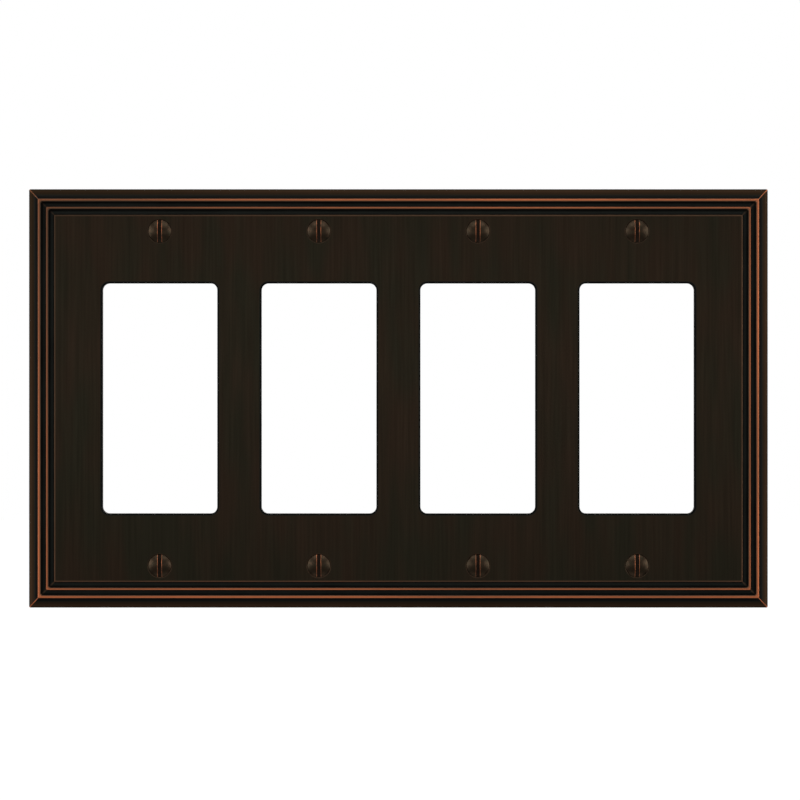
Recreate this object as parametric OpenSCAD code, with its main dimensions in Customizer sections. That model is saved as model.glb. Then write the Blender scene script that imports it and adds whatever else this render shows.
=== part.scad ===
// Four-gang wall plate for decorator devices, with its eight oval-head screws.
// X runs along the width, Z up the wall, and -Y out of the wall into the room.
// The origin is at the centre of the plate's back plane, where it lies on the wall.

/* [Plate] */
// Width over the outer edges
plate_w = 214.5; // [213:0.5:225]
// Height over the outer edges
plate_h = 121.5; // [120:0.5:130]
// Depth from the wall to the top of the outer raised line
plate_d = 6; // [5.8:0.1:7]
// Radius of the upright outer corners
corner_r = 0.5; // [0.3:0.1:1]
// Thickness of the cast wall behind the centre field
field_t = 2.2; // [2:0.1:2.6]
// Width of the back rim that lies on the wall
rim_w = 2.2; // [1.8:0.1:2.6]

/* [Border] */
// Height of the upright side below the bevel
side_h = 1.6; // [1.2:0.1:2.4]
// Width of the sloping outer bevel
bevel_w = 3; // [2.5:0.1:3.5]
// Width of the outer raised line
outer_line_w = 0.9; // [0.6:0.05:1.2]
// Width of the outer sunk band
outer_band_w = 1.4; // [1.2:0.1:1.8]
// Width of the inner raised line
inner_line_w = 0.75; // [0.5:0.05:1]
// Width of the inner sunk band
inner_band_w = 1.6; // [1.2:0.1:1.8]
// Drop from the outer raised line to the outer sunk band
outer_band_drop = 0.75; // [0.5:0.05:0.8]
// Rise from the outer sunk band to the inner raised line
inner_line_rise = 0.2; // [0.1:0.05:0.3]
// Drop from the outer raised line to the centre field
field_drop = 1; // [0.8:0.05:1.1]
// Drop from the centre field to the inner sunk band
inner_band_drop = 0.3; // [0.2:0.05:0.4]

/* [Openings] */
// Distance between the centres of neighbouring gangs
gang_pitch = 46.04; // [46:0.01:46.1]
// Width of each opening
opening_w = 33.3; // [33:0.1:34]
// Height of each opening
opening_h = 66.7; // [66:0.1:67.5]
// Corner radius of each opening
opening_r = 2; // [1:0.1:3]
// Width of the lip that stiffens each opening at the back
lip_w = 1.5; // [1.2:0.1:2]
// Depth of that lip
lip_h = 1.2; // [0.8:0.1:1.5]

/* [Screw holes] */
// Distance between the upper and lower screw rows
screw_pitch = 96.84; // [96.8:0.01:96.9]
// Diameter of each screw hole
hole_d = 4.5; // [4.2:0.1:4.6]
// Diameter of the countersink at the face
countersink_d = 6.9; // [6.8:0.1:7.2]
// Included angle of the countersink and of the screw head
countersink_angle = 82; // [82:1:90]
// Diameter of the boss behind each screw hole
boss_d = 8.5; // [8:0.1:10]
// Depth of that boss
boss_h = 0.6; // [0.4:0.1:0.8]

/* [Screws] */
// Diameter over the thread
thread_d = 3.5; // [3.4:0.1:3.6]
// Length from the rim of the head to the tip
screw_l = 19; // [16:0.5:25]
// Diameter of the unthreaded neck
neck_d = 2.9; // [2.7:0.1:3]
// Diameter of the head at its rim
head_d = 6.6; // [6.5:0.1:6.6]
// Height of the rounded crown above the rim of the head
crown_h = 1; // [0.8:0.1:1.1]
// Width of the driver slot
slot_w = 1.1; // [0.9:0.1:1.2]
// Depth of the driver slot below the top of the crown
slot_d = 1.2; // [0.9:0.1:1.4]
// Gap between the head and its countersink
seat_gap = 0.05; // [0.04:0.01:0.08]

/* [Hidden] */
$fn = 64;

gangs = 4;
past = 1;                 // how far a cutting shape runs past the face it cuts
bite = 0.5;               // how far an added shape reaches into the body under it
plate_color = [0.13, 0.10, 0.08];
screw_color = [0.18, 0.12, 0.09];

// Insets from the outer edge to where each border shape ends
outer_line_in = bevel_w + outer_line_w;
outer_band_in = outer_line_in + outer_band_w;
inner_line_in = outer_band_in + inner_line_w;
field_in = inner_line_in + inner_band_w;

// Heights above the wall
outer_band_y = plate_d - outer_band_drop;
inner_line_y = outer_band_y + inner_line_rise;
field_y = plate_d - field_drop;
inner_band_y = field_y - inner_band_drop;
hollow_y = field_y - field_t;

// Corner radii: the sunk bands have rounded corners, the centre field nearly sharp ones
band_r = 1;
field_r = 0.3;

// Screw head: half angle of its cone, and how far its rim sits below the face
cone_a = countersink_angle / 2;
rim_clearance = (countersink_d - head_d) / 2;
head_sink = (rim_clearance - seat_gap / cos(cone_a)) / tan(cone_a);
head_y = field_y - head_sink;
cone_l = (head_d - neck_d) / 2 / tan(cone_a);
crown_r = (pow(head_d / 2, 2) + pow(crown_h, 2)) / (2 * crown_h);
thread_y = hollow_y - boss_h - 0.5;
tip_y = head_y - screw_l;
tip_chamfer = 0.5;

function gang_x(gang) = (gang - (gangs + 1) / 2) * gang_pitch;

// Outline of a rounded rectangle about the origin
module outline(w, h, r) {
  square([w - 2 * r, h], center = true);
  square([w, h - 2 * r], center = true);
  for (x = [-1, 1], z = [-1, 1])
    translate([x * (w / 2 - r), z * (h / 2 - r)]) circle(r = r);
}

// Stands a flat outline up against the wall, filling it between two heights above the wall
module raised(from, to) {
  translate([0, -from, 0])
    rotate([90, 0, 0])
      linear_extrude(height = to - from) children();
}

// The plate's outline moved in from its outer edge
module inset_outline(inset, r) {
  outline(plate_w - 2 * inset, plate_h - 2 * inset, r);
}

// Wedge that takes the bevel off one long edge, for an edge half_size from the centre
module bevel_wedge(half_size, edge_l) {
  slope = (plate_d - side_h) / bevel_w;
  linear_extrude(height = edge_l + 2 * past, center = true)
    polygon([
      [half_size + past, past * slope - side_h],
      [half_size + past, -plate_d - past],
      [half_size - bevel_w - past / slope, -plate_d - past]
    ]);
}

// Solid block with all four outer edges bevelled
module bevelled_block() {
  difference() {
    raised(0, plate_d) inset_outline(0, corner_r);
    for (turn = [0, 180]) {
      rotate([0, turn, 0]) bevel_wedge(plate_w / 2, plate_h);
      rotate([0, turn + 90, 0]) bevel_wedge(plate_h / 2, plate_w);
    }
  }
}

// Narrow line that stands up between the two sunk bands
module inner_line() {
  raised(outer_band_y - bite, inner_line_y)
    difference() {
      inset_outline(outer_band_in, band_r / 2);
      inset_outline(inner_line_in, band_r);
    }
}

// Lips that stiffen the four openings at the back
module opening_lips() {
  for (gang = [1 : gangs])
    translate([gang_x(gang), 0, 0])
      raised(hollow_y - lip_h, hollow_y + bite)
        outline(opening_w + 2 * lip_w, opening_h + 2 * lip_w, opening_r + lip_w);
}

// Places its children on every screw axis
module at_screws() {
  for (gang = [1 : gangs], side = [-1, 1])
    translate([gang_x(gang), 0, side * screw_pitch / 2]) children();
}

// Straight hole with its countersink, along one screw axis
module screw_hole() {
  depth = (countersink_d - hole_d) / 2 / tan(cone_a);
  extra = past * tan(cone_a);
  rotate([90, 0, 0]) cylinder(d = hole_d, h = plate_d + past);
  translate([0, depth - field_y, 0])
    rotate([90, 0, 0])
      cylinder(d1 = hole_d, d2 = countersink_d + 2 * extra, h = depth + past);
}

module face_plate() {
  color(plate_color)
    difference() {
      union() {
        difference() {
          bevelled_block();
          raised(outer_band_y, plate_d + past) inset_outline(outer_line_in, band_r);
          raised(inner_band_y, plate_d + past) inset_outline(inner_line_in, band_r);
          raised(-past, hollow_y) inset_outline(rim_w, band_r);
        }
        inner_line();
        raised(inner_band_y - bite, field_y) inset_outline(field_in, field_r);
        opening_lips();
        at_screws() raised(hollow_y - boss_h, hollow_y + bite) circle(d = boss_d);
      }
      for (gang = [1 : gangs])
        translate([gang_x(gang), 0, 0])
          raised(-past, plate_d + past) outline(opening_w, opening_h, opening_r);
      at_screws() screw_hole();
    }
}

// Slotted oval-head screw on one screw axis, with its head towards the room
module oval_head_screw(gang, side) {
  color(screw_color)
    translate([gang_x(gang), 0, side * screw_pitch / 2])
      difference() {
        union() {
          // Crown: the cap of a large ball, cut to the rim of the head
          intersection() {
            translate([0, crown_r - head_y - crown_h, 0]) sphere(r = crown_r);
            translate([0, -head_y, 0]) rotate([90, 0, 0]) cylinder(d = head_d, h = crown_h + past);
          }
          // Cone that bears in the countersink
          translate([0, cone_l - head_y, 0])
            rotate([90, 0, 0]) cylinder(d1 = neck_d, d2 = head_d, h = cone_l);
          translate([0, -thread_y, 0])
            rotate([90, 0, 0]) cylinder(d = neck_d, h = head_y - thread_y);
          // Thread at its outer diameter, with a chamfered tip
          translate([0, -tip_y - tip_chamfer, 0])
            rotate([90, 0, 0]) cylinder(d = thread_d, h = thread_y - tip_y - tip_chamfer);
          translate([0, -tip_y, 0])
            rotate([90, 0, 0])
              cylinder(d1 = thread_d - 2 * tip_chamfer, d2 = thread_d, h = tip_chamfer);
        }
        translate([-slot_w / 2, -head_y - crown_h - past, -head_d / 2 - past])
          cube([slot_w, slot_d + past, head_d + 2 * past]);
      }
}

module screw_gang1_top() { oval_head_screw(1, 1); }
module screw_gang1_bottom() { oval_head_screw(1, -1); }
module screw_gang2_top() { oval_head_screw(2, 1); }
module screw_gang2_bottom() { oval_head_screw(2, -1); }
module screw_gang3_top() { oval_head_screw(3, 1); }
module screw_gang3_bottom() { oval_head_screw(3, -1); }
module screw_gang4_top() { oval_head_screw(4, 1); }
module screw_gang4_bottom() { oval_head_screw(4, -1); }

face_plate();
screw_gang1_top();
screw_gang1_bottom();
screw_gang2_top();
screw_gang2_bottom();
screw_gang3_top();
screw_gang3_bottom();
screw_gang4_top();
screw_gang4_bottom();
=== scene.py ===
"""Looks of the four-gang wall plate and its eight oval-head screws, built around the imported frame.

Shapes are worked out in millimetres and scaled to metres when a mesh is made. Heights are measured
from the wall towards the room, so a point at height h lies at y = -h.
"""
import math

import bmesh
import bpy
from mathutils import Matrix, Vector
from mathutils.geometry import delaunay_2d_cdt


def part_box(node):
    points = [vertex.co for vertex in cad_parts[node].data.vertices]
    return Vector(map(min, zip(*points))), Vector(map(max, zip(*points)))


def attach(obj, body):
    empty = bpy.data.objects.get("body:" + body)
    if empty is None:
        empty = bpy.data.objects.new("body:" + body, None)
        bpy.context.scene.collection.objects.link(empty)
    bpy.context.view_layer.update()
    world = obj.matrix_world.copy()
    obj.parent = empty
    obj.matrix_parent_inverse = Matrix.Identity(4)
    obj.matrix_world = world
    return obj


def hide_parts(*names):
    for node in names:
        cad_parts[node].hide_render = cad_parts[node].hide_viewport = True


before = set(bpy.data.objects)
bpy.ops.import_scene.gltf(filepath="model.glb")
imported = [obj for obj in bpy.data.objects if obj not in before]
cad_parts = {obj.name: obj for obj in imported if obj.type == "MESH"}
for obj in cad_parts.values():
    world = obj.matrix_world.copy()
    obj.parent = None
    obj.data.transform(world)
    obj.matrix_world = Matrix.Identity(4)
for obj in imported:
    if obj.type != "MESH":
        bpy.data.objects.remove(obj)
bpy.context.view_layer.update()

MM = 0.001

# ---------------------------------------------------------------- sizes, in millimetres
# The plate's outer size comes from the frame; its section repeats the CAD source.
plate_low, plate_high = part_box("face_plate")
HALF_W = plate_high.x / MM
HALF_H = plate_high.z / MM
PLATE_D = -plate_low.y / MM

SIDE_H = 1.6
RIM_W = 2.2
FIELD_T = 2.2
BEVEL_W = 3.0
OUTER_LINE_IN = 3.9
OUTER_BAND_IN = 5.3
INNER_LINE_IN = 6.05
FIELD_IN = 7.65
OUTER_BAND_Y = PLATE_D - 0.75
INNER_LINE_Y = OUTER_BAND_Y + 0.2
FIELD_Y = PLATE_D - 1.0
INNER_BAND_Y = FIELD_Y - 0.3
HOLLOW_Y = FIELD_Y - FIELD_T

GANGS = 4
GANG_PITCH = 46.04
OPENING_HALF_W = 33.3 / 2
OPENING_HALF_H = 66.7 / 2
OPENING_R = 2.0
LIP_W = 1.5
LIP_Y = HOLLOW_Y - 1.2

SCREW_PITCH = 96.84
HOLE_R = 2.25
COUNTERSINK_R = 3.45
CONE_TAN = math.tan(math.radians(41))
BOSS_R = 4.25
BOSS_Y = HOLLOW_Y - 0.6

# The ejector pins that left their marks on the hollow's ceiling
PIN_R = 2.0
PIN_DEPTH = 0.12
BAR_PIN_Z = 22.0
END_PIN_IN = 11.0
END_PIN_Z = 48.0

HEAD_R = 3.3
CROWN_H = 1.0
NECK_R = 1.45
THREAD_R = 1.75
THREAD_ROOT_R = 1.27
THREAD_PITCH = 25.4 / 32
THREAD_START_Y = 1.7
THREAD_FADE = 0.9  # how far along the axis the thread takes to grow from the neck
TIP_CHAMFER = 0.5
SLOT_HALF_W = 0.55
SLOT_D = 1.2
SLOT_FLOOR = CROWN_H - SLOT_D  # measured up from the head's rim, so it lies in the cone
SLOT_RUB_W = 0.1  # width of the copper along the slot's edges
CONE_INSET = 0.02  # how far the head's cone stays inside the CAD cone

# How finely the round shapes are divided
HOLE_SIDES = 48
PIN_SIDES = 32
ARC_STEPS = 8
STOP_SPACING = 8.0  # between points along the middle of a straight side
NEAR_CORNER = [0.5, 1.4, 3.2, 7.0]  # from the ends of a straight side to its nearest points
CROWN_ROWS = 11
CROWN_ANGLES = range(20, 74, 9)  # of the crown's columns, from the slot's cross axis, in degrees

# Columns at the slot's edge: (distance out from its wall, drop below the crown)
SLOT_EDGE = ((0.2, 0.0), (0.08, 0.004), (0.025, 0.025), (0.0, 0.08))
# Columns at the slot's foot: (distance in from its wall, lift above its floor)
SLOT_FOOT = ((0.0, 0.1), (0.03, 0.03), (0.1, 0.0))
SLOT_MIDDLE_X = 0.2  # the last column on each half of the slot's floor

# Where the thread's rows lie within one turn: two at its root, then two at its crest
TURN_SHARES = (0.0, 0.19, 0.52, 0.67)
CREST_ROWS = (2, 3)

WELD_DISTANCE = 1e-4  # points closer than this become one
FILL_INSIDE = 1  # makes the triangulation keep only what lies inside the outlines
FILL_TOLERANCE = 1e-6
FAR_INSIDE = 50.0  # the inset value given to points that aren't on the border

GANG_XS = [(gang - (GANGS - 1) / 2) * GANG_PITCH for gang in range(GANGS)]


# ---------------------------------------------------------------- stage sizes, in metres
FLOOR_HALF = 30.0
FLOOR_Z = -1.2

# How strongly the room lights the plate from below and from above
ROOM_BELOW = 0.14
ROOM_ABOVE = 0.30

# Each light is (name, place, width, height, power in watts)
SOFTBOXES = [
    ("top_softbox", (0, -0.4, 0.45), 0.8, 0.25, 0.9),
    ("bottom_softbox", (0, -0.3, -0.55), 0.8, 0.25, 0.3),
    ("front_softbox", (-0.06, -0.45, 0.01), 0.7, 0.08, 0.11),
    ("left_softbox", (-1.1, -0.35, 0.1), 0.5, 1.0, 2.8),
    ("right_softbox", (1.1, -0.35, 0.1), 0.5, 1.0, 3.1),
    ("left_rim_light", (-0.65, 0.38, 0.65), 0.25, 0.25, 0.8),
    ("right_rim_light", (0.65, 0.38, 0.65), 0.25, 0.25, 0.6),
    ("left_fill", (-1.0, -0.8, 0.2), 0.5, 0.5, 1.2),
    ("right_fill", (1.0, -0.8, 0.2), 0.5, 0.5, 1.2),
    ("rear_softbox", (0.2, 1.2, 0.5), 0.8, 0.8, 7.0),
]

LENS = 140  # millimetres
SENSOR_W = 36  # millimetres
CAMERA_PLACE = (0.00046, -0.905, -0.00046)


# ---------------------------------------------------------------- mesh helpers
class Shape:
    """Points with their inset, wear, darkening for patina and painted shade, and cast share, and the
    faces between them.
    """

    VALUES = ("inset", "wear", "patina_and_shade", "cast")

    def __init__(self):
        self.points = []
        self.faces = []
        self.values = {name: [] for name in self.VALUES}

    # The darkening value stands partly for patina in the hollows and partly for painted shade in
    # crevices, at steps and along edges.
    def point(self, x, z, height, inset=FAR_INSIDE, wear=0.0, patina_and_shade=0.0, cast=0.0):
        """Adds a point and returns its number."""
        self.points.append((x, -height, z))
        for name, value in zip(self.VALUES, (inset, wear, patina_and_shade, cast)):
            self.values[name].append(value)
        return len(self.points) - 1

    def bridge(self, first, second):
        """Joins two closed rings that have the same number of points."""
        count = len(first)
        for i in range(count):
            j = (i + 1) % count
            self.faces.append((first[i], first[j], second[j], second[i]))

    def loft(self, rings):
        """Joins a row of closed rings, each to the next."""
        for first, second in zip(rings, rings[1:]):
            self.bridge(first, second)

    def fill_flat(self, outer, holes):
        """Fills a flat ring with triangles, and leaves its holes open."""
        loops = [outer, *holes]
        order = [index for loop in loops for index in loop]
        flat = [Vector((self.points[i][0], self.points[i][2])) for i in order]
        edges = []
        start = 0
        for loop in loops:
            count = len(loop)
            edges += [(start + i, start + (i + 1) % count) for i in range(count)]
            start += count
        corners, _, triangles, sources, _, _ = delaunay_2d_cdt(
            flat, edges, [], FILL_INSIDE, FILL_TOLERANCE
        )
        outlines = [[flat[order.index(i)] for i in hole] for hole in holes]
        for triangle in triangles:
            middle = sum((corners[i] for i in triangle), Vector((0, 0))) / len(triangle)
            if not any(contains(outline, middle) for outline in outlines):
                self.faces.append(tuple(order[sources[i][0]] for i in triangle))


def contains(outline, spot):
    """Whether a closed outline goes round a point, by counting the edges to its right."""
    inside = False
    for a, b in zip(outline, outline[1:] + outline[:1]):
        if (a.y > spot.y) != (b.y > spot.y):
            if spot.x < a.x + (b.x - a.x) * (spot.y - a.y) / (b.y - a.y):
                inside = not inside
    return inside


def softened(profile, steps=4):
    """Rounds a profile's corners, each given as (cut, values...).

    The curve round a corner starts and ends at the cut's distance from it.
    """
    corners = [(corner[0], Vector(corner[1:])) for corner in profile]
    result = [corners[0][1]]
    for (_, before), (cut, corner), (_, after) in zip(corners, corners[1:], corners[2:]):
        if cut == 0:
            result.append(corner)
            continue
        start = toward(corner, before, cut)
        end = toward(corner, after, cut)
        for i in range(steps + 1):
            t = i / steps
            result.append(start * (1 - t) ** 2 + corner * (2 * t * (1 - t)) + end * t ** 2)
    result.append(corners[-1][1])
    return result


def toward(corner, other, distance):
    """The point that far along the profile from a corner, and at most 0.45 of the way."""
    length = math.hypot(other[0] - corner[0], other[1] - corner[1])
    return corner.lerp(other, min(distance / length, 0.45))


def side_stops(length):
    """Distances along a straight side, closer together near its ends."""
    full_length = 2 * HALF_W if length > 2 * HALF_H else 2 * HALF_H
    gaps = round(full_length / STOP_SPACING)
    last_near = NEAR_CORNER[-1]
    middle = [last_near + (length - 2 * last_near) * i / gaps for i in range(1, gaps)]
    return NEAR_CORNER + middle + [length - distance for distance in reversed(NEAR_CORNER)]


def rounded_rectangle(half_w, half_h, radius, stops=None):
    """Points (x, z, cornerness) of a rounded rectangle, anticlockwise from its top right corner.

    Cornerness is 1 in the middle of a corner and falls to 0 where the corner ends.
    """
    result = []
    corners = [(1, 1), (-1, 1), (-1, -1), (1, -1)]
    for quarter, (sx, sz) in enumerate(corners):
        centre_x = sx * (half_w - radius)
        centre_z = sz * (half_h - radius)
        for i in range(ARC_STEPS + 1):
            angle = math.radians(90 * (quarter + i / ARC_STEPS))
            cornerness = 1 - abs(2 * i / ARC_STEPS - 1) ** 3
            result.append((
                centre_x + radius * math.cos(angle),
                centre_z + radius * math.sin(angle),
                cornerness,
            ))
        if stops:
            length = 2 * ((half_w if quarter % 2 == 0 else half_h) - radius)
            last_x, last_z, _ = result[-1]
            step_x, step_z = [(-1, 0), (0, -1), (1, 0), (0, 1)][quarter]
            for distance in stops(length):
                result.append((last_x + step_x * distance, last_z + step_z * distance, 0.0))
    return result


def circle(centre_x, centre_z, radius, count=HOLE_SIDES):
    """Points (x, z) of a circle."""
    return [
        (
            centre_x + radius * math.cos(2 * math.pi * i / count),
            centre_z + radius * math.sin(2 * math.pi * i / count),
        )
        for i in range(count)
    ]


def make_piece(name, shape, material):
    """Turns a shape into a smooth-shaded object at the origin, in metres."""
    mesh = bpy.data.meshes.new(name)
    mesh.from_pydata([Vector(point) * MM for point in shape.points], [], shape.faces)
    for value_name, values in shape.values.items():
        mesh.attributes.new(value_name, "FLOAT", "POINT").data.foreach_set("value", values)
    work = bmesh.new()
    work.from_mesh(mesh)
    bmesh.ops.remove_doubles(work, verts=work.verts, dist=WELD_DISTANCE * MM)
    bmesh.ops.recalc_face_normals(work, faces=work.faces)
    work.to_mesh(mesh)
    work.free()
    shade_by_area(mesh)
    mesh.materials.append(material)
    piece = bpy.data.objects.new(name, mesh)
    bpy.context.scene.collection.objects.link(piece)
    return piece


def shade_by_area(mesh):
    """Smooth shading in which the larger faces at a point count most, so flats stay flat."""
    normals = [Vector() for _ in mesh.vertices]
    for face in mesh.polygons:
        for index in face.vertices:
            normals[index] += face.normal * face.area
    mesh.shade_smooth()
    mesh.normals_split_custom_set_from_vertices([normal.normalized() for normal in normals])


# ---------------------------------------------------------------- the plate
def border_profile():
    """The border's section, from the hollow's ceiling round the rim and over to the field.

    Each corner is (cut, inset, height, plan corner radius, wear, darkening for patina and painted
    shade, wear on the mitres, cast).
    """
    top = PLATE_D
    return softened([
        # The darkening values paint shade as well as patina: near-black at each step's riser and
        # foot, the dark band at the outer edge, and the bevel darkening towards the ridge.
        (0, RIM_W + 0.6, HOLLOW_Y, 1.0, 0, 0.3, 0, 1),
        (0.4, RIM_W, HOLLOW_Y, 1.0, 0, 0.5, 0, 1),
        (0.12, RIM_W, 0, 1.0, 0.15, 0.1, 0.1, 1),
        (0.15, 0, 0, 0.5, 0.15, 0.1, 0.2, 1),
        (0, 0, SIDE_H - 0.3, 0.5, 0, 0.5, 0.5, 0),
        (0.15, 0, SIDE_H, 0.4, 0, 0.85, 1, 0),
        (0, 0.22, SIDE_H + 0.3, 0.3, 0.02, 0.6, 1, 0),
        (0, 0.45, SIDE_H + 0.58, 0.3, 0.28, 0, 1, 0),
        (1.0, 1.45, 3.45, 0.25, 0.09, 0.18, 0.95, 0),
        (0, 2.15, top - 1.52, 0.2, 0, 0.74, 0.9, 0),
        (0.1, BEVEL_W - 0.06, top - 0.42, 0.15, 0, 1, 0.8, 0),
        (0, BEVEL_W + 0.02, top - 0.15, 0.15, 0.2, 0.8, 0.9, 0),
        (0.08, BEVEL_W + 0.14, top, 0.15, 0.95, 0, 1, 0),
        (0, BEVEL_W + 0.4, top, 0.3, 1, 0, 1, 0),
        (0, BEVEL_W + 0.56, top, 0.35, 0.75, 0.05, 0.9, 0),
        (0.1, OUTER_LINE_IN - 0.12, top, 0.4, 0.22, 0.4, 0.6, 0),
        (0, OUTER_LINE_IN - 0.02, top - 0.16, 0.4, 0, 0.95, 0.2, 0),
        (0.12, OUTER_LINE_IN + 0.05, OUTER_BAND_Y, 0.4, 0, 1, 0, 0),
        (0, OUTER_LINE_IN + 0.4, OUTER_BAND_Y - 0.04, 0.4, 0, 0.9, 0.05, 0),
        (0.3, OUTER_LINE_IN + 0.95, OUTER_BAND_Y - 0.04, 0.4, 0, 0.64, 0.12, 0),
        (0.06, OUTER_BAND_IN, OUTER_BAND_Y, 0.3, 0, 0.9, 0.12, 0),
        (0.05, OUTER_BAND_IN + 0.09, INNER_LINE_Y, 0.3, 0.55, 0.3, 0.6, 0),
        (0, OUTER_BAND_IN + 0.25, INNER_LINE_Y, 0.4, 0.95, 0, 0.8, 0),
        (0, OUTER_BAND_IN + 0.4, INNER_LINE_Y, 0.5, 0.7, 0, 0.8, 0),
        (0.1, INNER_LINE_IN - 0.12, INNER_LINE_Y, 0.6, 0.3, 0.3, 0.4, 0),
        (0, INNER_LINE_IN - 0.02, INNER_LINE_Y - 0.14, 0.6, 0, 0.95, 0.2, 0),
        (0.12, INNER_LINE_IN + 0.05, INNER_BAND_Y, 0.6, 0, 1, 0, 0),
        (0, INNER_LINE_IN + 0.5, INNER_BAND_Y, 0.5, 0, 0.85, 0.05, 0),
        (0, INNER_LINE_IN + 0.85, INNER_BAND_Y, 0.4, 0, 0.56, 0.1, 0),
        (0, FIELD_IN - 0.35, INNER_BAND_Y, 0.3, 0, 0.65, 0.12, 0),
        (0.08, FIELD_IN - 0.04, INNER_BAND_Y, 0.3, 0, 1, 0.12, 0),
        (0.1, FIELD_IN + 0.03, FIELD_Y, 0.3, 0.36, 0, 0.36, 0),
        (0, FIELD_IN + 0.24, FIELD_Y, 0.3, 0.28, 0, 0.3, 0),
        (0, FIELD_IN + 0.5, FIELD_Y, 0.3, 0, 0, 0, 0),
    ])


def add_border(plate):
    """Adds the border and returns its first and last rings: the hollow's ceiling and the field."""
    rings = []
    for inset, height, radius, wear, patina_and_shade, mitre_wear, cast in border_profile():
        outline = rounded_rectangle(HALF_W - inset, HALF_H - inset, radius, side_stops)
        rings.append([
            plate.point(x, z, height, inset, max(wear, mitre_wear * cornerness), patina_and_shade, cast)
            for x, z, cornerness in outline
        ])
    plate.loft(rings)
    return rings[0], rings[-1]


def add_opening(plate, centre_x):
    """Adds one device opening with its lip, and returns its rings on the field and the ceiling.

    Each corner of its section is (cut, distance out from the opening, height, darkening for patina
    and painted shade, cast).
    """
    profile = softened([
        # The dark rim round the opening's front edge is painted shade; the darkening on the wall and
        # lip is partly patina, partly painted shade.
        (0, 0.6, FIELD_Y, 0, 0),
        (0, 0.34, FIELD_Y, 0.9, 0),
        (0.2, 0, FIELD_Y, 1, 0),
        (0.15, 0, LIP_Y, 0.6, 0.5),
        (0, 0.3, LIP_Y, 0.1, 1),
        (0.15, LIP_W, LIP_Y, 0, 1),
        (0.25, LIP_W, HOLLOW_Y, 0.5, 1),
        (0, LIP_W + 0.5, HOLLOW_Y, 0.2, 1),
    ])
    rings = []
    for offset, height, patina_and_shade, cast in profile:
        outline = rounded_rectangle(
            OPENING_HALF_W + offset, OPENING_HALF_H + offset, OPENING_R + offset
        )
        rings.append([
            plate.point(centre_x + x, z, height, patina_and_shade=patina_and_shade, cast=cast) for x, z, _ in outline
        ])
    plate.loft(rings)
    return rings[0], rings[-1]


def add_screw_hole(plate, centre_x, centre_z):
    """Adds one countersunk hole with its boss, and returns its rings on the field and the ceiling.

    Each corner of its section is (cut, radius, height, wear, darkening for patina and painted shade,
    cast).
    """
    bore_top = FIELD_Y - (COUNTERSINK_R - HOLE_R) / CONE_TAN
    profile = softened([
        # The countersink darkens towards the bore, and the bore is dark: partly patina, partly
        # painted shade.
        (0, COUNTERSINK_R + 0.25, FIELD_Y, 0, 0, 0),
        (0.12, COUNTERSINK_R, FIELD_Y, 0.1, 0.1, 0),
        (0.15, HOLE_R, bore_top, 0, 0.9, 0),
        (0.1, HOLE_R, BOSS_Y, 0, 0.9, 0.5),
        (0.15, BOSS_R, BOSS_Y, 0, 0.2, 1),
        (0.2, BOSS_R, HOLLOW_Y, 0, 0.6, 1),
        (0, BOSS_R + 0.4, HOLLOW_Y, 0, 0.2, 1),
    ])
    rings = [
        [
            plate.point(x, z, height, wear=wear, patina_and_shade=patina_and_shade, cast=cast)
            for x, z in circle(centre_x, centre_z, radius)
        ]
        for radius, height, wear, patina_and_shade, cast in profile
    ]
    plate.loft(rings)
    return rings[0], rings[-1]


def add_ejector_mark(plate, centre_x, centre_z):
    """Adds the shallow round print of an ejector pin in the hollow's ceiling, and returns its edge.

    Each corner of its section is (cut, radius, height, darkening for patina and painted shade).
    """
    profile = softened([
        # The pin mark's sunken edge is darkened: partly patina, partly painted shade.
        (0, PIN_R + 0.15, HOLLOW_Y, 0),
        (0.05, PIN_R, HOLLOW_Y, 0.1),
        (0.05, PIN_R - 0.05, HOLLOW_Y + PIN_DEPTH, 0.9),
        (0, PIN_R - 0.3, HOLLOW_Y + PIN_DEPTH, 0.2),
    ])
    rings = [
        [
            plate.point(x, z, height, patina_and_shade=patina_and_shade, cast=1)
            for x, z in circle(centre_x, centre_z, radius, PIN_SIDES)
        ]
        for radius, height, patina_and_shade in profile
    ]
    plate.loft(rings)
    plate.faces.append(tuple(rings[-1]))
    return rings[0]


def ejector_places():
    """The marks' middles: two on each bar between the openings, and three near each end."""
    bars = [(bar * GANG_PITCH, z) for bar in (-1, 0, 1) for z in (-BAR_PIN_Z, BAR_PIN_Z)]
    end_x = HALF_W - END_PIN_IN
    ends = [(x, z) for x in (-end_x, end_x) for z in (-END_PIN_Z, 0, END_PIN_Z)]
    return bars + ends


def build_plate(material):
    """Builds the whole plate as one closed mesh in place of the CAD plate."""
    plate = Shape()
    ceiling, field = add_border(plate)
    cuts = [add_opening(plate, x) for x in GANG_XS]
    cuts += [
        add_screw_hole(plate, x, side * SCREW_PITCH / 2) for x in GANG_XS for side in (-1, 1)
    ]
    marks = [add_ejector_mark(plate, x, z) for x, z in ejector_places()]
    plate.fill_flat(field, [front for front, _ in cuts])
    plate.fill_flat(ceiling, [back for _, back in cuts] + marks)
    piece = make_piece("face_plate_detailed", plate, material)
    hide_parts("face_plate")
    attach(piece, "plate")
    return piece


# ---------------------------------------------------------------- the screws
def crown_height(distance):
    """Height of the domed crown above the head's rim, that far from the axis."""
    ball_r = (HEAD_R ** 2 + CROWN_H ** 2) / (2 * CROWN_H)
    return math.sqrt(ball_r ** 2 - distance ** 2) - (ball_r - CROWN_H)


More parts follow.
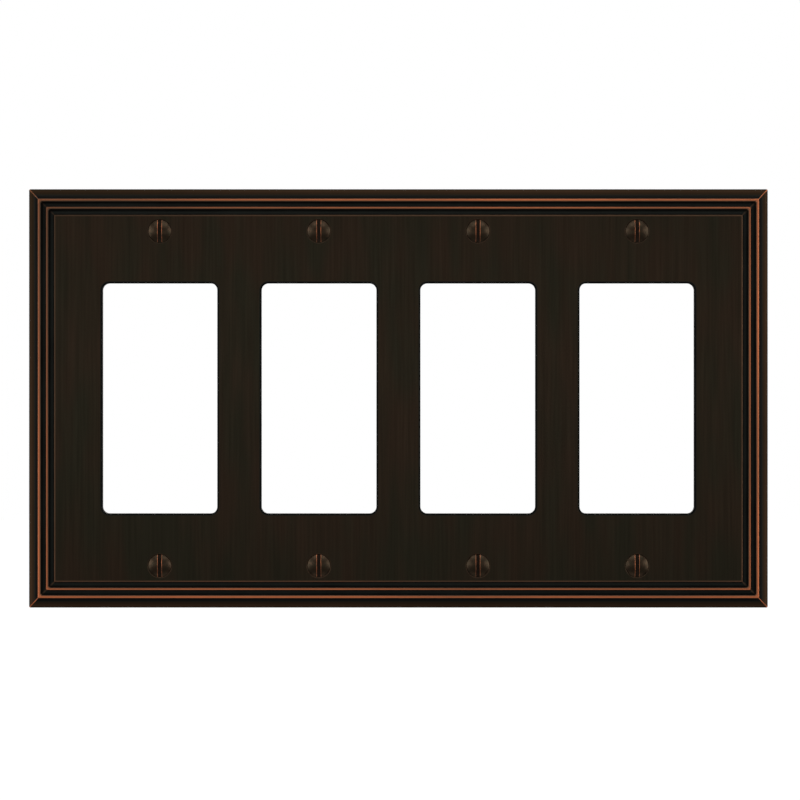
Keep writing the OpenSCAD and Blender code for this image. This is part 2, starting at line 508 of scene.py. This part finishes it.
def crown_columns():
    """Columns across the head, parallel to the slot: (x, drop below the crown, level in the slot).

    The level is None for a column on the crown.
    """
    half = [(-HEAD_R * math.cos(math.radians(angle)), 0.0, None) for angle in CROWN_ANGLES]
    half += [(-SLOT_HALF_W - out, drop, None) for out, drop in SLOT_EDGE]
    half += [(-SLOT_HALF_W + into, 0, SLOT_FLOOR + lift) for into, lift in SLOT_FOOT]
    half.append((-SLOT_MIDDLE_X, 0, SLOT_FLOOR))
    return half + [(-x, drop, level) for x, drop, level in reversed(half)]


def crown_wear_patina_and_shade(x, in_slot):
    """Copper shows along the slot's edges, the slot is darkened with patina and painted shade, and
    the rest has a trace of both.
    """
    trace = 0.05
    if in_slot:
        return trace, 0.9
    if abs(x) < SLOT_HALF_W + SLOT_RUB_W:
        return 0.8, trace
    return trace, trace


def add_cap(point_at, side, shares, edge_r):
    """Adds the crown's edge beyond its last column on one side.

    Each entry is (point, azimuth, in slot).
    """
    start = math.acos(math.cos(math.radians(CROWN_ANGLES[0])) * HEAD_R / edge_r)
    cap = []
    for share in shares[1:-1]:
        azimuth = side * (math.pi / 2 - share * start)
        x = edge_r * math.sin(azimuth)
        z = edge_r * math.cos(azimuth)
        point = point_at(x, z, crown_height(edge_r), *crown_wear_patina_and_shade(x, False))
        cap.append((point, azimuth % (2 * math.pi), False))
    return cap


def add_crown(screw, point_at):
    """Adds the slotted crown, and returns its rim clockwise from the top.

    Each entry of the rim is (point, azimuth, in slot).
    """
    shares = [2 * i / (CROWN_ROWS - 1) - 1 for i in range(CROWN_ROWS)]
    edge_r = HEAD_R - 0.06
    floor_r = HEAD_R - (SLOT_D - CROWN_H) * CONE_TAN - CONE_INSET
    columns = []
    lower_rim = []
    upper_rim = []
    for x, drop, level in crown_columns():
        in_slot = level is not None
        half_chord = math.sqrt((floor_r if in_slot else edge_r) ** 2 - x ** 2)
        column = []
        for share in shares:
            z = share * half_chord
            height = level if in_slot else crown_height(math.hypot(x, z)) - drop
            column.append(point_at(x, z, height, *crown_wear_patina_and_shade(x, in_slot)))
        columns.append(column)
        azimuth = math.asin(x / edge_r)
        lower_rim.append((column[0], math.pi - azimuth, in_slot))
        upper_rim.append((column[-1], azimuth % (2 * math.pi), in_slot))

    left_cap = add_cap(point_at, -1, shares, edge_r)
    right_cap = add_cap(point_at, 1, shares, edge_r)
    left_end = [columns[0][0], *[point for point, _, _ in left_cap], columns[0][-1]]
    right_end = [columns[-1][0], *[point for point, _, _ in right_cap], columns[-1][-1]]
    columns = [left_end, *columns, right_end]
    for left, right in zip(columns, columns[1:]):
        for i in range(CROWN_ROWS - 1):
            corners = (left[i], left[i + 1], right[i + 1], right[i])
            face = tuple(dict.fromkeys(corners))
            if len(face) > 2:
                screw.faces.append(face)
    rim = lower_rim[::-1] + left_cap + upper_rim + right_cap[::-1]
    return sorted(rim, key=lambda entry: entry[1])


def add_head_side(screw, point_at, rim):
    """Adds the rounded rim and the cone below it, and returns the ring where the neck starts.

    Each level is (height, radius, wear), and a radius of None stands for the cone's own. At the
    slot's ends no level is above the slot's floor.
    """
    cone_l = (HEAD_R - NECK_R) / CONE_TAN
    levels = [
        (-0.01, HEAD_R - 0.015, 0.1),
        (-0.08, HEAD_R - 0.05, 0.1),
        (-0.3, None, 0),
        (-cone_l + 0.1, None, 0),
    ]
    rings = [[point for point, _, _ in rim]]
    for height, radius, wear in levels:
        ring = []
        for _, azimuth, in_slot in rim:
            level = min(height, SLOT_FLOOR - 0.02) if in_slot else height
            cone_r = HEAD_R + level * CONE_TAN - CONE_INSET
            ring_r = cone_r if in_slot or radius is None else radius
            ring.append(point_at(
                ring_r * math.sin(azimuth), ring_r * math.cos(azimuth), level, wear, 0.2
            ))
        rings.append(ring)
    screw.loft(rings)
    return rings[-1]


def thread_radius(row, y, start_y, end_y):
    """Radius on one row of the thread, which grows out of the neck and is cut by the tip."""
    full_r = THREAD_R if row in CREST_ROWS else THREAD_ROOT_R
    fade = min(max((y - start_y) / THREAD_FADE, 0), 1)
    radius = NECK_R + (full_r - NECK_R) * fade
    return min(radius, THREAD_R - TIP_CHAMFER + max(end_y - y, 0))


def add_shank(screw, point_at, neck, azimuths, start_y, end_y):
    """Adds the neck and a right-hand thread whose rows follow its helix, closed at the tip."""
    rows_a_turn = len(TURN_SHARES)
    turns = math.ceil((end_y - start_y) / THREAD_PITCH)
    rows = []
    for turn in range(-1, turns + 1):
        for row, share in enumerate(TURN_SHARES):
            line = []
            for azimuth in azimuths:
                round_share = (azimuth - azimuths[0]) / (2 * math.pi)
                y = start_y + (turn + share + round_share) * THREAD_PITCH
                y = min(max(y, start_y), end_y)
                radius = thread_radius(row, y, start_y, end_y)
                # Thread roots are darkened more than the crests: partly patina, partly painted
                # shade.
                wear = 0.25 if radius > NECK_R + 0.2 else 0.0
                line.append(point_at(
                    radius * math.sin(azimuth), radius * math.cos(azimuth), point_at.height(y),
                    wear, 0.3 - wear,
                ))
            rows.append(line)
    screw.bridge(neck, rows[0])
    # The last point of a row meets the first point of the row one turn further on
    for index, (line, following) in enumerate(zip(rows, rows[1:])):
        for i in range(len(neck) - 1):
            screw.faces.append((line[i], line[i + 1], following[i + 1], following[i]))
        seam = min(index + rows_a_turn, len(rows) - 1)
        seam_next = min(index + 1 + rows_a_turn, len(rows) - 1)
        screw.faces.append((line[-1], rows[seam][0], rows[seam_next][0], following[-1]))
    screw.faces.append(tuple(rows[-1]))


class ScrewPoints:
    """Adds points given about one screw's axis, with heights above its head's rim."""

    def __init__(self, shape, node):
        low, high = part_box(node)
        self.shape = shape
        self.x = (low.x + high.x) / 2 / MM
        self.z = (low.z + high.z) / 2 / MM
        # The slot takes the crown's top away, so the CAD screw ends beside the slot
        self.rim_y = low.y / MM + crown_height(SLOT_HALF_W)
        self.tip_y = high.y / MM

    def height(self, y):
        """Height above the head's rim of a place on the scene's y axis."""
        return self.rim_y - y

    def __call__(self, x, z, height, wear, patina_and_shade):
        """Adds a point and returns its number."""
        above_wall = height - self.rim_y
        return self.shape.point(self.x + x, self.z + z, above_wall, wear=wear, patina_and_shade=patina_and_shade)


def build_screw(node, material):
    """Builds one screw as a closed mesh in place of its CAD node, on the body of the same name."""
    screw = Shape()
    point_at = ScrewPoints(screw, node)
    rim = add_crown(screw, point_at)
    neck = add_head_side(screw, point_at, rim)
    azimuths = [azimuth for _, azimuth, _ in rim]
    add_shank(screw, point_at, neck, azimuths, -THREAD_START_Y, point_at.tip_y)
    piece = make_piece(node + "_detailed", screw, material)
    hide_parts(node)
    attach(piece, node)
    return piece


# ---------------------------------------------------------------- materials
class Nodes:
    """Short ways to add shader nodes to one material."""

    def __init__(self, material):
        material.use_nodes = True
        self.tree = material.node_tree
        self.shader = self.tree.nodes["Principled BSDF"]

    def link(self, source, target):
        """Joins an output to a socket."""
        self.tree.links.new(source, target)

    def put(self, value, socket):
        """Links an output to a socket, or sets the socket to a plain value."""
        if isinstance(value, bpy.types.NodeSocket):
            self.link(value, socket)
        else:
            socket.default_value = value

    def attribute(self, name):
        """One of the values that the mesh holds at its points."""
        node = self.tree.nodes.new("ShaderNodeAttribute")
        node.attribute_name = name
        return node.outputs["Fac"]

    def math(self, operation, first, second=0.0, clamp=False):
        """One step of arithmetic on two numbers, held within 0 and 1 if clamp is set."""
        node = self.tree.nodes.new("ShaderNodeMath")
        node.operation = operation
        node.use_clamp = clamp
        self.put(first, node.inputs[0])
        self.put(second, node.inputs[1])
        return node.outputs[0]

    def remap(self, value, low, high, to_low=0.0, to_high=1.0):
        """Maps low..high to to_low..to_high, and holds the ends."""
        node = self.tree.nodes.new("ShaderNodeMapRange")
        node.clamp = True
        self.put(value, node.inputs["Value"])
        node.inputs["From Min"].default_value = low
        node.inputs["From Max"].default_value = high
        node.inputs["To Min"].default_value = to_low
        node.inputs["To Max"].default_value = to_high
        return node.outputs[0]

    def mix(self, share, first, second):
        """Mixes two colours."""
        node = self.tree.nodes.new("ShaderNodeMix")
        node.data_type = "RGBA"
        self.put(share, node.inputs["Factor"])
        for value, socket in ((first, node.inputs[6]), (second, node.inputs[7])):
            self.put(value if isinstance(value, bpy.types.NodeSocket) else (*value, 1), socket)
        return node.outputs[2]

    def blend(self, share, first, second):
        """Mixes two numbers."""
        node = self.tree.nodes.new("ShaderNodeMix")
        self.put(share, node.inputs[0])
        self.put(first, node.inputs[2])
        self.put(second, node.inputs[3])
        return node.outputs[0]

    def scale(self, colour, factor):
        """Brightens or darkens a colour."""
        node = self.tree.nodes.new("ShaderNodeVectorMath")
        node.operation = "SCALE"
        self.link(colour, node.inputs[0])
        self.put(factor, node.inputs["Scale"])
        return node.outputs[0]

    def vector(self, x, y, z=0.0):
        """A vector made of its three parts."""
        node = self.tree.nodes.new("ShaderNodeCombineXYZ")
        for value, socket in zip((x, y, z), node.inputs):
            self.put(value, socket)
        return node.outputs[0]

    def position(self):
        """The point's place in its piece's own frame, in metres, so it moves with the piece."""
        return self.tree.nodes.new("ShaderNodeTexCoord").outputs["Object"]

    def separate(self, vector):
        """The x, y and z of a vector."""
        node = self.tree.nodes.new("ShaderNodeSeparateXYZ")
        self.link(vector, node.inputs[0])
        return node.outputs

    def noise(self, vector, scale, detail=2.0, roughness=0.5):
        """Noise around 0.5; the scale is about how many waves fit in one unit of the vector."""
        node = self.tree.nodes.new("ShaderNodeTexNoise")
        self.link(vector, node.inputs["Vector"])
        node.inputs["Scale"].default_value = scale
        node.inputs["Detail"].default_value = detail
        node.inputs["Roughness"].default_value = roughness
        return node.outputs["Fac"]

    def bump(self, height, strength, distance, normal=None):
        """A normal bent by a height, on top of another normal if one is given."""
        node = self.tree.nodes.new("ShaderNodeBump")
        node.inputs["Strength"].default_value = strength
        node.inputs["Distance"].default_value = distance
        self.link(height, node.inputs["Height"])
        if normal is not None:
            self.link(normal, node.inputs["Normal"])
        return node.outputs[0]


# Colours, in linear light
WARM_BRONZE = (0.045, 0.0295, 0.019)
OLIVE_BRONZE = (0.0345, 0.03, 0.019)
# This dark and the near-black below it stand for patina in the hollows and for painted shade in
# crevices, at steps and along edges.
GROOVE = (0.0175, 0.02, 0.0175)
PATINA_AND_SHADE_BLACK = (0.0022, 0.0028, 0.0028)
BROWN_RUB = (0.15, 0.085, 0.051)
COPPER = (0.88, 0.265, 0.11)
CAST_BRONZE = (0.21, 0.175, 0.145)
CAST_SHADE = (0.14, 0.125, 0.108)
EDGE_TINT = (0.60, 0.48, 0.40, 1)  # what the metal reflects at a glancing angle
CAST_ROUGHNESS = 0.55


def darkened_by_patina_and_shade(nodes, bronze, patina_and_shade_amount):
    """Bronze that darkens through greenish brown to near-black as the patina and painted shade go
    from 0 to 1.
    """
    halfway = nodes.mix(nodes.remap(patina_and_shade_amount, 0, 0.5), bronze, GROOVE)
    return nodes.mix(nodes.remap(patina_and_shade_amount, 0.5, 1), halfway, PATINA_AND_SHADE_BLACK)


def rubbed(nodes, surface, rub):
    """A surface that brightens through brown to bare copper as rub goes from 0 to 1."""
    halfway = nodes.mix(nodes.remap(rub, 0, 0.3), surface, BROWN_RUB)
    return nodes.mix(nodes.remap(rub, 0.3, 1), halfway, COPPER)


def metal_share(nodes, patina_and_shade_amount):
    """How metallic the surface is: fully where it is not darkened, and little where patina and
    painted shade are thickest.
    """
    return nodes.remap(patina_and_shade_amount, 0.2, 1, 1, 0.15)


def streak_noise(nodes, across, along, across_scale, along_scale):
    """Noise drawn out along one direction, from 0 to 1."""
    place = nodes.vector(
        nodes.math("MULTIPLY", across, across_scale), nodes.math("MULTIPLY", along, along_scale)
    )
    return nodes.remap(nodes.noise(place, 1.0, 1.0), 0.3, 0.7)


def brush_streaks(nodes, x, z, inset):
    """Streaks that run up and down on the field, and along each rail on the border."""
    on_border = nodes.remap(inset, FIELD_IN + 0.2, FIELD_IN)
    rail_along = nodes.math("ADD", x, z)
    field_streaks = streak_noise(nodes, x, z, 1600, 45)
    rail_streaks = streak_noise(nodes, inset, rail_along, 2.4, 45)
    return nodes.blend(on_border, field_streaks, rail_streaks)


def brushed_bronze(nodes, position, x, z, streaks):
    """Bronze that wanders between warm and olive, with fine and long streaks in it."""
    cloud = nodes.remap(nodes.noise(position, 22), 0.35, 0.65, -0.4, 0.4)
    hue = nodes.math("ADD", streak_noise(nodes, x, z, 170, 35), cloud, clamp=True)
    long_streaks = streak_noise(nodes, x, z, 700, 6)
    bronze = nodes.mix(hue, OLIVE_BRONZE, WARM_BRONZE)
    bronze = nodes.scale(bronze, nodes.remap(streaks, 0, 1, 0.91, 1.09))
    return nodes.scale(bronze, nodes.remap(long_streaks, 0, 1, 0.94, 1.06))


def cast_skin(nodes, patches, sand):
    """The bare, sandy surface left by the mould."""
    skin = nodes.mix(patches, CAST_BRONZE, CAST_SHADE)
    return nodes.scale(skin, nodes.remap(sand, 0.3, 0.7, 0.85, 1.15))


def uneven_rub(nodes, position, wear, patches):
    """Wear that is stronger in some places than in others, as hands leave it."""
    handling = nodes.remap(nodes.noise(position, 9, 1.5, 0.4), 0.36, 0.62, 0.5, 1.14)
    uneven = nodes.remap(patches, 0.3, 0.7, 0.94, 1.06)
    return nodes.math("MULTIPLY", wear, nodes.math("MULTIPLY", handling, uneven), clamp=True)


def plate_finish():
    """Dark brushed bronze, copper rubbed through on the raised lines, and patina with painted shade
    in the grooves.
    """
    material = bpy.data.materials.new("plate_finish")
    nodes = Nodes(material)
    position = nodes.position()
    x, _, z = nodes.separate(position)
    wear = nodes.attribute("wear")
    patina_and_shade = nodes.attribute("patina_and_shade")
    cast = nodes.attribute("cast")
    streaks = brush_streaks(nodes, x, z, nodes.attribute("inset"))
    patches = nodes.noise(position, 75, 3.0, 0.55)
    sand = nodes.noise(position, 1400, 3.0, 0.6)
    # Patina and painted shade, made a little patchy.
    patina_and_shade_amount = nodes.math("MULTIPLY", patina_and_shade, nodes.remap(patches, 0.3, 0.7, 0.9, 1.1), clamp=True)

    bronze = brushed_bronze(nodes, position, x, z, streaks)
    metal = darkened_by_patina_and_shade(nodes, nodes.mix(cast, bronze, cast_skin(nodes, patches, sand)), patina_and_shade_amount)
    rub = uneven_rub(nodes, position, wear, patches)
    nodes.link(rubbed(nodes, metal, rub), nodes.shader.inputs["Base Color"])

    nodes.link(metal_share(nodes, patina_and_shade_amount), nodes.shader.inputs["Metallic"])
    roughness = nodes.blend(cast, nodes.remap(streaks, 0, 1, 0.41, 0.35), CAST_ROUGHNESS)
    roughness = nodes.math("ADD", roughness, nodes.remap(patina_and_shade_amount, 0.2, 1, 0, 0.4))
    nodes.link(roughness, nodes.shader.inputs["Roughness"])
    nodes.shader.inputs["Specular IOR Level"].default_value = 0.12
    nodes.shader.inputs["Specular Tint"].default_value = EDGE_TINT

    # Fine grit everywhere, brush lines on the front, and sand on the cast back
    grit = nodes.noise(position, 9000, 2.0)
    normal = nodes.bump(grit, 0.1, 0.00002)
    brushed = nodes.blend(cast, streaks, 0.5)
    normal = nodes.bump(brushed, 0.25, 0.00001, normal)
    normal = nodes.bump(nodes.blend(cast, 0.5, sand), 0.5, 0.00005, normal)
    nodes.link(normal, nodes.shader.inputs["Normal"])
    return material


def screw_finish():
    """The plate's bronze on steel, with copper rubbed through along the driver slot."""
    material = bpy.data.materials.new("screw_finish")
    nodes = Nodes(material)
    wear = nodes.attribute("wear")
    patina_and_shade = nodes.attribute("patina_and_shade")
    mottle = nodes.noise(nodes.position(), 1500, 3.0, 0.6)
    rub = nodes.math("MULTIPLY", wear, nodes.remap(mottle, 0.3, 0.7, 0.4, 1.1), clamp=True)
    bronze = nodes.mix(nodes.remap(mottle, 0.35, 0.65), OLIVE_BRONZE, WARM_BRONZE)
    # The slot and the thread roots are darkened with patina and painted shade.
    nodes.link(rubbed(nodes, darkened_by_patina_and_shade(nodes, bronze, patina_and_shade), rub), nodes.shader.inputs["Base Color"])
    nodes.link(metal_share(nodes, patina_and_shade), nodes.shader.inputs["Metallic"])
    nodes.shader.inputs["Specular IOR Level"].default_value = 0.2
    nodes.shader.inputs["Specular Tint"].default_value = EDGE_TINT
    nodes.link(nodes.remap(mottle, 0.3, 0.7, 0.4, 0.28), nodes.shader.inputs["Roughness"])
    nodes.link(nodes.bump(mottle, 0.2, 0.00002), nodes.shader.inputs["Normal"])
    return material


def floor_finish():
    """Plain white with some light of its own, so that it stays pale where no lamp reaches."""
    material = bpy.data.materials.new("floor_finish")
    nodes = Nodes(material)
    nodes.shader.inputs["Base Color"].default_value = (0.9, 0.9, 0.9, 1)
    nodes.shader.inputs["Roughness"].default_value = 0.9
    nodes.shader.inputs["Emission Color"].default_value = (1, 1, 1, 1)
    nodes.shader.inputs["Emission Strength"].default_value = 0.8
    return material


# ---------------------------------------------------------------- stage, light and camera
def build_floor():
    """A white floor, so low that a camera looking up at the plate is still above it."""
    mesh = bpy.data.meshes.new("floor")
    corners = [(-1, -1), (1, -1), (1, 1), (-1, 1)]
    mesh.from_pydata(
        [(x * FLOOR_HALF, y * FLOOR_HALF, FLOOR_Z) for x, y in corners], [], [(0, 1, 2, 3)]
    )
    mesh.materials.append(floor_finish())
    floor = bpy.data.objects.new("floor", mesh)
    floor.visible_glossy = False
    floor.visible_diffuse = False
    floor.visible_shadow = False
    bpy.context.scene.collection.objects.link(floor)


def add_softbox(name, place, width, height, power):
    """A soft area light that faces the middle of the plate."""
    light = bpy.data.lights.new(name, "AREA")
    light.shape = "RECTANGLE"
    light.size = width
    light.size_y = height
    light.energy = power
    lamp = bpy.data.objects.new(name, light)
    lamp.location = place
    lamp.visible_camera = False
    lamp.rotation_euler = Vector(place).to_track_quat("Z", "Y").to_euler()
    bpy.context.scene.collection.objects.link(lamp)


def build_world():
    """White to the eye; for the light it gives, a dim room that is brighter overhead."""
    world = bpy.data.worlds.new("studio")
    world.use_nodes = True
    bpy.context.scene.world = world
    tree = world.node_tree
    background = tree.nodes["Background"]
    coordinates = tree.nodes.new("ShaderNodeTexCoord")
    parts = tree.nodes.new("ShaderNodeSeparateXYZ")
    room = tree.nodes.new("ShaderNodeMapRange")
    room.inputs["From Min"].default_value = -1
    room.inputs["To Min"].default_value = ROOM_BELOW
    room.inputs["To Max"].default_value = ROOM_ABOVE
    sight = tree.nodes.new("ShaderNodeLightPath")
    seen = tree.nodes.new("ShaderNodeMix")
    seen.inputs[3].default_value = 1.0
    tree.links.new(coordinates.outputs["Generated"], parts.inputs[0])
    tree.links.new(parts.outputs["Z"], room.inputs["Value"])
    tree.links.new(room.outputs[0], seen.inputs[2])
    tree.links.new(sight.outputs["Is Camera Ray"], seen.inputs["Factor"])
    tree.links.new(seen.outputs[0], background.inputs["Strength"])
    background.inputs["Color"].default_value = (1, 1, 1, 1)


def build_camera():
    """Level and square to the plate, as the photograph was taken."""
    camera = bpy.data.objects.new("camera", bpy.data.cameras.new("camera"))
    camera.data.lens = LENS
    camera.data.sensor_width = SENSOR_W
    camera.location = CAMERA_PLACE
    camera.rotation_euler = (math.radians(90), 0, 0)
    bpy.context.scene.collection.objects.link(camera)
    bpy.context.scene.camera = camera


# ---------------------------------------------------------------- build
build_plate(plate_finish())
screw_material = screw_finish()
for node in sorted(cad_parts):
    if node.startswith("screw_"):
        build_screw(node, screw_material)

build_floor()
build_world()
for softbox in SOFTBOXES:
    add_softbox(*softbox)
build_camera()
bpy.context.scene.view_settings.view_transform = "Standard"
